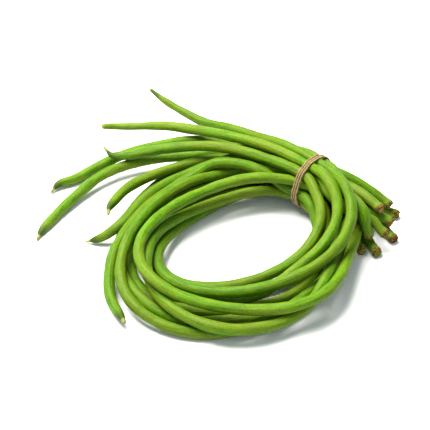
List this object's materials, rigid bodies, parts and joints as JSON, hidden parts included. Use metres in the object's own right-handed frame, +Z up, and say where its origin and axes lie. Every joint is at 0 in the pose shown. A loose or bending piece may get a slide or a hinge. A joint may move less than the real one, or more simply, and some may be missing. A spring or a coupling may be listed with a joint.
{
  "type": "yardlong bean bunch",
  "caption": "Bunch of fresh yardlong beans curled round in one coil and tied with a few turns of jute twine where the coil crosses the stem ends, lying flat.",
  "frame": {"origin": "on the surface the bunch lies on, below the middle of its box", "axes": "+Z up, +X towards the tied side with the stem ends, +Y towards the back of the coil"},
  "size_m": [0.2443, 0.2428, 0.0425],
  "materials": {
    "pod_skin": "satin green skin with fine lengthwise lines",
    "jute_twine": "matte twisted fibre"
  },
  "bodies": {
    "root": {"bean_1": "pod_skin", "bean_2": "pod_skin", "bean_3": "pod_skin", "bean_4": "pod_skin", "bean_5": "pod_skin", "bean_6": "pod_skin", "bean_7": "pod_skin", "bean_8": "pod_skin", "bean_9": "pod_skin", "tie_twine": "jute_twine"}
  },
  "joints": []
}
